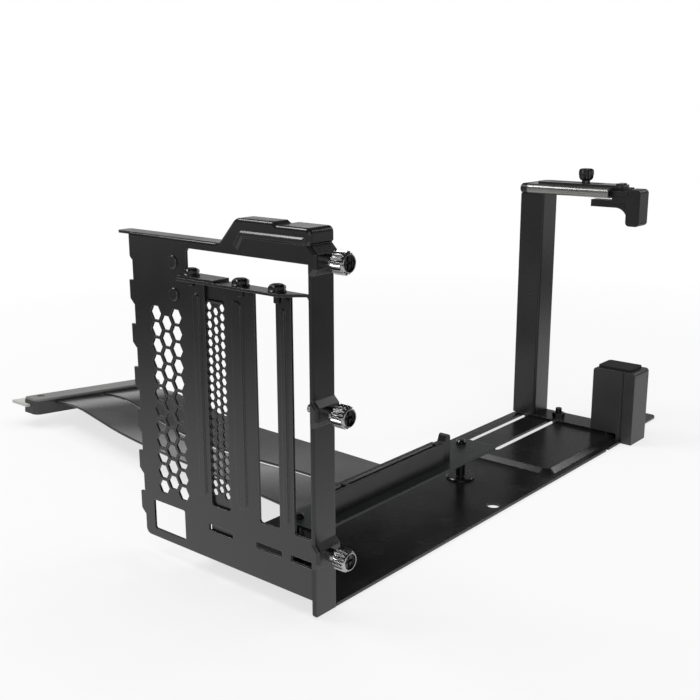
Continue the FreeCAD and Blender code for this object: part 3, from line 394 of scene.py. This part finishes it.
def thumb_rings():
    knurl = fluted(THUMB_HEAD_RADIUS, THUMB_FLUTE_DEPTH, THUMB_FLUTES)
    cross = cross_shape(*THUMB_CROSS)
    rings = list(THUMB_TIP)
    for turn in range(THUMB_THREAD_TURNS):
        start = THUMB_THREAD_START - turn * THUMB_THREAD_PITCH
        rings.append((start, THUMB_THREAD_RADIUS))
        rings.append((start - THUMB_GROOVE / 2, THUMB_ROOT_RADIUS))
        rings.append((start - THUMB_GROOVE, THUMB_THREAD_RADIUS))
    rings += [(THUMB_THREAD_END, THUMB_THREAD_RADIUS), (THUMB_RELIEF, THUMB_ROOT_RADIUS)]
    rings += [(THUMB_SEAT, THUMB_ROOT_RADIUS), (THUMB_SEAT, THUMB_NECK_RADIUS)]
    rings += [(THUMB_HEAD_BACK, THUMB_NECK_RADIUS), (THUMB_HEAD_BACK, THUMB_BACK_RADIUS)]
    rings += [(height, knurl) for height in THUMB_KNURL]
    rings += THUMB_RIM
    return rings + [(THUMB_DISH, THUMB_DISH_RADIUS), (THUMB_DISH, cross), (THUMB_CROSS_FLOOR, cross)]


add_turned(
    "fluted_thumbscrews", thumb_rings(), angle_list(THUMB_FLUTES, FLUTE_STEPS, corner_angle(*THUMB_CROSS)),
    thumb_place, THUMB_PLACES, (plated, blackened), "thumbscrews", THUMB_PAINTED_SHADE_RINGS)


# Clamp knob: a fluted grip that widens upward, on a neck and a plain shank

KNOB_LOW, KNOB_HIGH = box_of("clamp_knob")
KNOB_MIDDLE = (KNOB_LOW + KNOB_HIGH) / 2
KNOB_SEAT = box_of("guide_strip")[1].z
KNOB_FLUTES = 14
KNOB_SHANK = ((-5.9, 1.6), (-5.6, 2.0), (0.0, 2.0))
KNOB_NECK = ((0.0, 2.6), (1.6, 2.5), (1.6, 2.9))
# Height, radius and depth of the flutes
KNOB_GRIP = ((2.2, 3.7, 0.4), (3.2, 4.2, 0.7), (5.8, 4.58, 0.8), (7.5, 4.45, 0.8), (8.4, 3.9, 0.7))
KNOB_TOP = ((8.7, 2.9), (8.8, 1.8), (8.8, 0.6))


def knob_place(centre, a, b, height):
    return KNOB_MIDDLE.x + a, KNOB_MIDDLE.y + b, centre + height


def knob_rings():
    grip = [(height, fluted(radius, depth, KNOB_FLUTES)) for height, radius, depth in KNOB_GRIP]
    return [*KNOB_SHANK, *KNOB_NECK, *grip, *KNOB_TOP]


add_turned(
    "fluted_knob", knob_rings(), angle_list(KNOB_FLUTES, FLUTE_STEPS), knob_place, (KNOB_SEAT,),
    (blackened,), "clamp_knob")


# Slot screws: domed six-sided heads with a flange and a cross; the first one holds the cover's tab

COVER_TOP = box_of("slot_cover")[1].z
COVER_SHEET = 1.0
LEDGE_TOP = COVER_TOP - COVER_SHEET
SLOT_SCREW_X = -3.4
FIRST_SCREW_Y = 64.5
SECOND_SCREW_Y = 34.8
SLOT_SCREW_PLACES = (
    (FIRST_SCREW_Y, COVER_TOP),
    (SECOND_SCREW_Y, LEDGE_TOP),
    (SECOND_SCREW_Y - SLOT_PITCH, LEDGE_TOP),
)
SLOT_SCREW_SHANK = ((-4.6, 1.1), (-4.3, 1.5), (0.0, 1.5))
SLOT_SCREW_FLANGE = ((0.0, 3.7), (0.5, 3.75), (0.85, 3.3))
SLOT_SCREW_SIDES = 6
SLOT_SCREW_ACROSS = 6.4
SLOT_SCREW_FLATS = (0.9, 2.1)
SLOT_SCREW_DOME = ((2.7, 2.9), (3.0, 2.3))
SLOT_SCREW_CROSS = (1.9, 0.45)
SLOT_SCREW_RECESS = (2.9, 1.9)
# Rings down in the cross recess, painted in the near-black plastic coat as shade
SLOT_SCREW_PAINTED_SHADE_RINGS = 2


def slot_screw_place(centre, a, b, height):
    return SLOT_SCREW_X + a, centre[0] + b, centre[1] + height


def slot_screw_rings():
    head = hexagonal(SLOT_SCREW_ACROSS)
    cross = cross_shape(*SLOT_SCREW_CROSS)
    flats = [(height, head) for height in SLOT_SCREW_FLATS]
    recess = [(height, cross) for height in SLOT_SCREW_RECESS]
    return [*SLOT_SCREW_SHANK, *SLOT_SCREW_FLANGE, *flats, *SLOT_SCREW_DOME, *recess]


add_turned(
    "flanged_slot_screws", slot_screw_rings(),
    angle_list(SLOT_SCREW_SIDES, SIDE_STEPS, corner_angle(*SLOT_SCREW_CROSS)), slot_screw_place,
    SLOT_SCREW_PLACES, (blackened, moulded), "slot_screws", SLOT_SCREW_PAINTED_SHADE_RINGS)


# Ribbon: two flat strips side by side from the clamp bar to the plug

RIBBON_WIDTH = 36.0
RIBBON_SPACE = 2.0
RIBBON_THICK = 1.2
RIBBON_ANGLE = math.radians(8.5)
RIBBON_START_X = 64.3
BOOT_FACE_Y = box_of("ribbon_boot")[1].y
PLUG_FACE_Y = box_of("riser_plug_body")[0].y
# Way along the ribbon and height of the route's points
RIBBON_RUNS = (
    (0.0, 18.2), (34.0, 17.0), (84.0, 13.4), (134.0, 10.6),
    (172.0, 11.2), (200.0, 14.2), (230.0, 17.2), (258.6, 12.7),
)
ROUTE_STEPS = 14
# The second strip ends lower, because the plug leans; between their ends the two twist opposite ways
RIBBON_DROP = 3.3
RIBBON_END_TILT = math.radians(5.0)
RIBBON_TWIST = (math.radians(8.0), math.radians(-7.0))
# Share of the length over which an end turns in line with the face that it meets
SLANTED_SHARE = 0.25
RIBBON_WIRES = 18
WIRE_STEPS = 4
WIRE_RISE = 0.04

ahead = Vector((math.sin(RIBBON_ANGLE), math.cos(RIBBON_ANGLE), 0.0))
across = Vector((math.cos(RIBBON_ANGLE), -math.sin(RIBBON_ANGLE), 0.0))


def strip_route(index):
    step = (RIBBON_WIDTH + RIBBON_SPACE) / math.cos(RIBBON_ANGLE)
    start = Vector((RIBBON_START_X + index * step, BOOT_FACE_Y, 0.0))
    reach = (PLUG_FACE_Y - BOOT_FACE_Y) / ahead.y
    whole_run = RIBBON_RUNS[-1][0]
    route = []
    for run, height in RIBBON_RUNS:
        drop = index * RIBBON_DROP * run / whole_run
        route.append(start + ahead * min(run, reach) + Vector((0.0, 0.0, height - drop)))
    return route


def strip_line(index):
    # Centre line of one strip, read from a smooth curve along the route's points
    name = "ribbon_route_%d" % index
    route = strip_route(index)
    data = bpy.data.curves.new(name, "CURVE")
    data.dimensions = "3D"
    data.resolution_u = ROUTE_STEPS
    spline = data.splines.new("NURBS")
    spline.points.add(len(route) - 1)
    for point, place in zip(spline.points, route):
        point.co = (*in_frame(*place), 1.0)
    spline.order_u = 3
    spline.use_endpoint_u = True
    holder = add_object(name, data)
    line = bpy.data.meshes.new_from_object(holder)
    points = [v.co.copy() for v in line.vertices]
    bpy.data.objects.remove(holder)
    bpy.data.meshes.remove(line)
    bpy.data.curves.remove(data)
    return points


def strip_section():
    # Cross-section: low ridges over the wires on both faces
    count = RIBBON_WIRES * WIRE_STEPS
    top = []
    for k in range(count + 1):
        side = (k / count - 0.5) * RIBBON_WIDTH
        ridge = abs(math.sin(math.pi * k / WIRE_STEPS))
        top.append((side, RIBBON_THICK / 2 - WIRE_RISE * (1.0 - ridge)))
    return top + [(side, -height) for side, height in reversed(top)]


def strip_points(line, length, section, twist):
    # The section carried along the line, its ends cut in line with the clamp bar and the plug
    slant = -across.y / ahead.y
    points = []
    run = 0.0
    for i, centre in enumerate(line):
        before = line[max(i - 1, 0)]
        after = line[min(i + 1, len(line) - 1)]
        along = (after - before).normalized()
        up = across.cross(along).normalized()
        if i:
            run += (centre - before).length
        share = run / length
        lean = slant * max(0.0, 1.0 - min(share, 1.0 - share) / SLANTED_SHARE)
        tilt = RIBBON_END_TILT * share + twist * math.sin(math.pi * share) ** 2
        for side, height in section:
            wide = side * math.cos(tilt) + height * math.sin(tilt)
            high = height * math.cos(tilt) - side * math.sin(tilt)
            points.append(centre + (across * wide + along * lean * side + up * high) * MM)
    return points


def strip_faces(rings, count):
    faces = []
    for i in range(rings - 1):
        first = i * count
        second = first + count
        for k in range(count):
            n = (k + 1) % count
            faces.append((first + k, first + n, second + n, second + k))
    last = (rings - 1) * count
    faces.append(tuple(reversed(range(count))))
    faces.append(tuple(range(last, last + count)))
    return faces


def add_strip(index, node):
    name = "ribbon_strip_%d" % index
    line = strip_line(index)
    length = sum((b - a).length for a, b in zip(line[:-1], line[1:]))
    section = strip_section()
    points = strip_points(line, length, section, RIBBON_TWIST[index])
    mesh = bpy.data.meshes.new(name)
    mesh.from_pydata([tuple(p) for p in points], [], strip_faces(len(line), len(section)))
    mesh.validate()
    mesh.update()
    mesh.materials.append(film)
    for face in mesh.polygons:
        face.use_smooth = len(face.vertices) == 4
    strip = add_object(name, mesh)
    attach(strip, "mount")
    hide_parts(node)


add_strip(0, "riser_ribbon_near")
add_strip(1, "riser_ribbon_far")


# Floor and backdrop, in metres

FLOOR_SIZE = 12.0
FLOOR_DROP = 0.0004
FLOOR_ROUGHNESS = 0.9
FLOOR_TONES = (0.9, 0.93)
FLOOR_SCALE = 3.0
FLOOR_DETAIL = 2.0
MIDDLE = (0.0, 0.0, 0.0)
BEFORE_PANEL = (-0.22, 0.01, 0.0)
BEHIND_SUPPORT = (0.27, 0.05, 0.0)
# Two distances from a point and the brightness at them
SHADOW_FADE = (0.25, 0.70, 0.72, 1.0)
FLOOR_SHEEN = (
    (BEFORE_PANEL, (0.13, 0.54, 1.0, 0.12)),
    (BEHIND_SUPPORT, (0.12, 0.42, 0.9, 0.0)),
    (BEFORE_PANEL, (0.85, 1.3, 0.0, 0.65)),
)
# Height of a direction and its share of the backdrop's line, with the brightness that the coats show there
SKY_BAND = (0.10, 0.32, 1.0, 0.10)
SKY_SIDES = (0.5, 0.9, 0.3, 1.0)
BACKDROP_LINE = (0.74, 0.67, 0.0)
FILL_LIGHT = 0.25


def add_floor():
    # Pale floor, white to the eye, that keeps the shadow near the mount.
    # The coats show it bright beside the mount and darker further off
    bpy.ops.mesh.primitive_plane_add(size=FLOOR_SIZE, location=(0, 0, -FLOOR_DROP))
    floor = bpy.context.object
    floor.name = "floor"
    material, tree, shader = new_material("pale_floor")
    low, high = FLOOR_TONES
    soft = ramp(tree, noise(tree, FLOOR_SCALE, FLOOR_DETAIL), grey(low), grey(high))
    tree.links.new(soft, shader.inputs["Base Color"])
    shader.inputs["Roughness"].default_value = FLOOR_ROUGHNESS
    place = tree.nodes.new("ShaderNodeTexCoord").outputs["Object"]
    rays = tree.nodes.new("ShaderNodeLightPath")
    to_eye = rays.outputs["Is Camera Ray"]
    to_coat = rays.outputs["Is Glossy Ray"]
    whiteness = remap(tree, measure(tree, "DISTANCE", place, MIDDLE), SHADOW_FADE)
    patches = []
    for point, values in FLOOR_SHEEN:
        patches.append(remap(tree, measure(tree, "DISTANCE", place, point), values))
    sheen = patches[0]
    for patch in patches[1:]:
        sheen = combine(tree, "MAXIMUM", sheen, patch)
    share = combine(tree, "MAXIMUM", combine(tree, "MULTIPLY", to_eye, whiteness), to_coat)
    strength = combine(tree, "ADD", to_eye, combine(tree, "MULTIPLY", to_coat, sheen))
    glow = tree.nodes.new("ShaderNodeEmission")
    tree.links.new(strength, glow.inputs["Strength"])
    mix = tree.nodes.new("ShaderNodeMixShader")
    tree.links.new(share, mix.inputs["Fac"])
    tree.links.new(shader.outputs["BSDF"], mix.inputs[1])
    tree.links.new(glow.outputs["Emission"], mix.inputs[2])
    tree.links.new(mix.outputs["Shader"], tree.nodes["Material Output"].inputs["Surface"])
    floor.data.materials.append(material)


def add_world():
    # White to the eye, dim as fill light; the coats show it lighter near the horizon
    world = bpy.data.worlds.new("studio")
    world.use_nodes = True
    bpy.context.scene.world = world
    tree = world.node_tree
    rays = tree.nodes.new("ShaderNodeLightPath")
    direction = tree.nodes.new("ShaderNodeTexCoord").outputs["Generated"]
    parts = tree.nodes.new("ShaderNodeSeparateXYZ")
    tree.links.new(direction, parts.inputs["Vector"])
    facing = measure(tree, "DOT_PRODUCT", direction, BACKDROP_LINE)
    sides = remap(tree, combine(tree, "ABSOLUTE", facing), SKY_SIDES)
    sky = combine(tree, "MULTIPLY", remap(tree, parts.outputs["Z"], SKY_BAND), sides)
    shown = tree.nodes.new("ShaderNodeMapRange")
    shown.inputs["To Min"].default_value = FILL_LIGHT
    tree.links.new(rays.outputs["Is Glossy Ray"], shown.inputs["Value"])
    tree.links.new(sky, shown.inputs["To Max"])
    level = combine(tree, "MAXIMUM", rays.outputs["Is Camera Ray"], shown.outputs["Result"])
    background = tree.nodes["Background"]
    tree.links.new(level, background.inputs["Strength"])
    background.inputs["Color"].default_value = (1.0, 1.0, 1.0, 1.0)


# Lamps: name, place and target in metres, size, power, and whether the coats show the lamp

LAMPS = (
    ("top_box", (0.0, 0.0, 1.1), (0.0, 0.0, 0.0), (1.0, 1.0), 6.0, False),
    ("left_back_box", (-0.4, 0.72, 1.0), (-0.1, 0.0, 0.1), (0.5, 0.25), 4.5, True),
    ("right_back_box", (0.95, -0.35, 0.75), (0.05, 0.0, 0.1), (0.3, 0.3), 1.8, True),
    ("front_box", (-1.0, -0.8, 0.7), (0.0, 0.0, 0.08), (0.8, 0.8), 2.5, True),
)


def add_lamp(name, place, target, size, power, mirrored):
    data = bpy.data.lights.new(name, "AREA")
    data.shape = "RECTANGLE"
    data.size, data.size_y = size
    data.energy = power
    lamp = add_object(name, data)
    lamp.location = place
    lamp.rotation_mode = "QUATERNION"
    lamp.rotation_quaternion = (Vector(target) - Vector(place)).to_track_quat("-Z", "Y")
    lamp.visible_glossy = mirrored


add_floor()
add_world()
for lamp_values in LAMPS:
    add_lamp(*lamp_values)

bpy.context.scene.view_settings.view_transform = "Standard"
